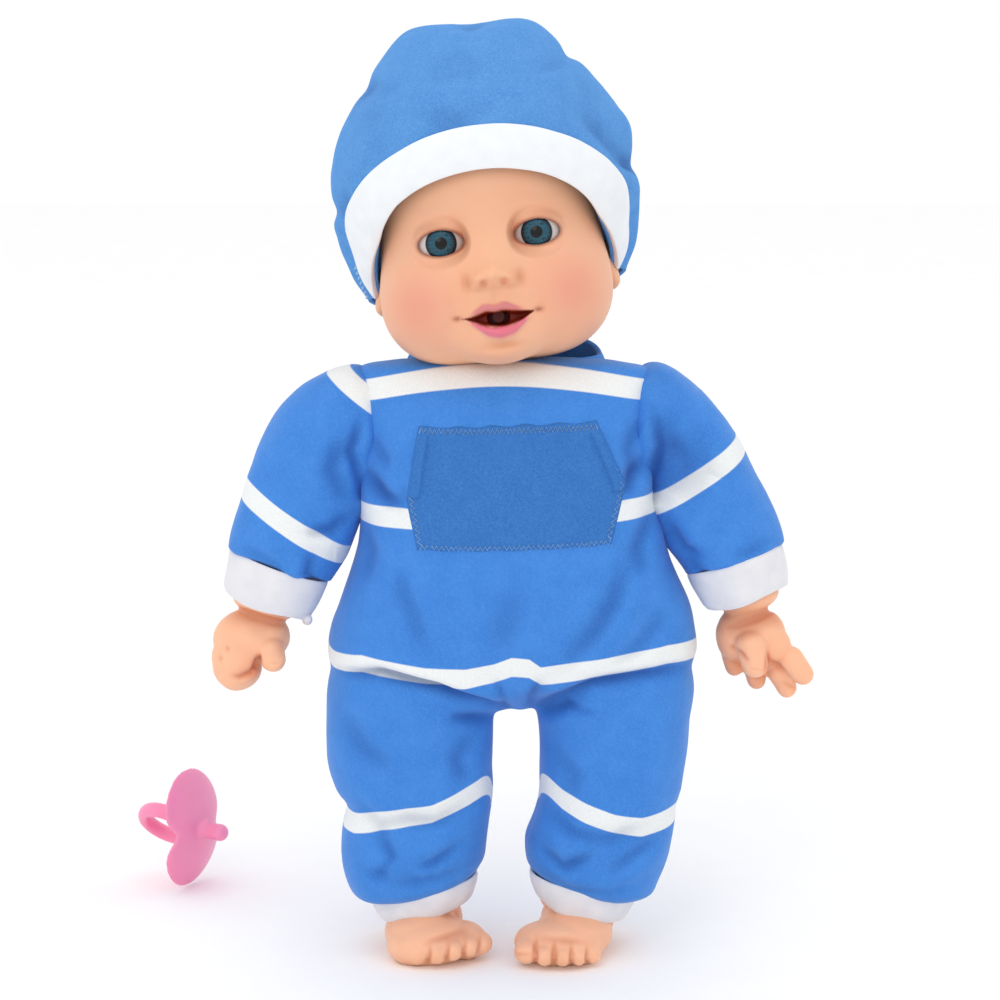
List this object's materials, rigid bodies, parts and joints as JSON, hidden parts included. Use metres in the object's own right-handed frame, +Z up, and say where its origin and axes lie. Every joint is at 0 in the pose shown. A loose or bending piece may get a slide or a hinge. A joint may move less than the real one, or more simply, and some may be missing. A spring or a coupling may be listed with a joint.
{
  "type": "interactive baby doll",
  "caption": "Soft-bodied baby doll with vinyl head, hands and feet, striped romper, fleece hat, belly sound unit and a loose pacifier that fits its mouth switch.",
  "frame": {"origin": "point on the floor under the middle of the doll's body, between and just behind its feet", "axes": "+Z up along the standing doll, -Y the way it faces, +X to its own left"},
  "size_m": [0.2514, 0.1234, 0.3298],
  "materials": {
    "stuffing": "polyester fibre filling in a cotton body bag",
    "romper_knit": "twill-knit cotton, blue with white stripes",
    "pocket_fleece": "brushed fleece",
    "white_rib": "white rib jersey",
    "hat_fleece": "light blue fleece",
    "vinyl_skin": "matt painted soft vinyl",
    "eye_white": "polished",
    "eye_iris": "printed blue disc",
    "eye_clear": "clear dome",
    "pacifier_pink": "satin moulded plastic",
    "box_plastic": "moulded ABS",
    "tape": "hook-and-loop tape",
    "nylon": "nylon cable tie",
    "steel": "zinc-plated steel",
    "board": "glass-epoxy laminate",
    "chip": "potting resin",
    "cone": "coated paper",
    "lead": "two-core flex",
    "switch": "moulded nylon"
  },
  "bodies": {
    "torso": {"battery_contacts": "steel", "battery_door": "box_plastic", "battery_door_screw": "steel", "button_cells": "steel", "circuit_board": "board", "closure_hook_tape": "tape", "closure_loop_tape": "tape", "kangaroo_pocket": "pocket_fleece", "mouth_switch_lead": "lead", "neck_tie": "nylon", "neckband": "white_rib", "romper_torso": "romper_knit", "sound_box_front": "box_plastic", "sound_box_rear": "box_plastic", "sound_box_screws": "steel", "sound_chip": "chip", "speaker_cone": "cone", "speaker_frame": "steel", "torso_stuffing": "stuffing", "tummy_button_spring": "steel"},
    "head": {"head_shell": "vinyl_skin", "left_eyeball": "eye_white", "right_eyeball": "eye_white", "left_iris": "eye_iris", "right_iris": "eye_iris", "left_cornea": "eye_clear", "right_cornea": "eye_clear", "mouth_cup": "box_plastic", "mouth_switch_case": "switch", "mouth_switch_spring": "steel"},
    "hat": {"hat_crown": "hat_fleece", "hat_band": "white_rib"},
    "mouth_plunger": {"mouth_plunger": "switch"},
    "tummy_button": {"tummy_button": "box_plastic"},
    "power_switch": {"power_switch_knob": "switch"},
    "left_arm": {"left_sleeve": "romper_knit", "left_arm_stuffing": "stuffing", "left_sleeve_cuff": "white_rib", "left_hand": "vinyl_skin", "left_wrist_tie": "nylon"},
    "left_leg": {"left_trouser_leg": "romper_knit", "left_leg_stuffing": "stuffing", "left_ankle_cuff": "white_rib", "left_foot": "vinyl_skin", "left_ankle_tie": "nylon"},
    "right_arm": {"right_sleeve": "romper_knit", "right_arm_stuffing": "stuffing", "right_sleeve_cuff": "white_rib", "right_hand": "vinyl_skin", "right_wrist_tie": "nylon"},
    "right_leg": {"right_trouser_leg": "romper_knit", "right_leg_stuffing": "stuffing", "right_ankle_cuff": "white_rib", "right_foot": "vinyl_skin", "right_ankle_tie": "nylon"},
    "pacifier": {"pacifier": "pacifier_pink"}
  },
  "joints": [
    {"name": "head_turn", "type": "hinge", "parent": "torso", "child": "head", "pos_m": [0, 0.004, 0.212], "axis": [0, 0, 1], "range_deg": [-45, 45]},
    {"name": "hat_lift", "type": "slide", "parent": "head", "child": "hat", "axis": [-0.1207, 0.1392, 0.9829], "range_m": [0, 0.12]},
    {"name": "mouth_plunger_press", "type": "slide", "parent": "head", "child": "mouth_plunger", "axis": [0.017, 0.9903, -0.1381], "range_m": [0, 0.002], "stiffness_N_per_m": 300, "springref_m": -0.002, "deforming": ["mouth_switch_spring"]},
    {"name": "tummy_button_press", "type": "slide", "parent": "torso", "child": "tummy_button", "axis": [0, 1, 0], "range_m": [0, 0.0015], "stiffness_N_per_m": 400, "springref_m": -0.002, "deforming": ["tummy_button_spring"]},
    {"name": "power_switch_slide", "type": "slide", "parent": "torso", "child": "power_switch", "axis": [1, 0, 0], "range_m": [-0.002, 0.002]},
    {"name": "right_arm_swing", "type": "hinge", "parent": "torso", "child": "right_arm", "pos_m": [-0.0506, 0.002, 0.196], "axis": [-1, 0, 0], "range_deg": [-45, 130]},
    {"name": "left_arm_swing", "type": "hinge", "parent": "torso", "child": "left_arm", "pos_m": [0.0506, 0.002, 0.196], "axis": [-1, 0, 0], "range_deg": [-45, 130]},
    {"name": "right_leg_swing", "type": "hinge", "parent": "torso", "child": "right_leg", "pos_m": [-0.033, -0.012, 0.098], "axis": [-1, 0, 0], "range_deg": [-10, 88]},
    {"name": "left_leg_swing", "type": "hinge", "parent": "torso", "child": "left_leg", "pos_m": [0.0384, -0.012, 0.098], "axis": [-1, 0, 0], "range_deg": [-10, 88]},
    {"name": "pacifier_lift", "type": "slide", "parent": "torso", "child": "pacifier", "axis": [0, 0, 1], "range_m": [0, 0.12]}
  ]
}
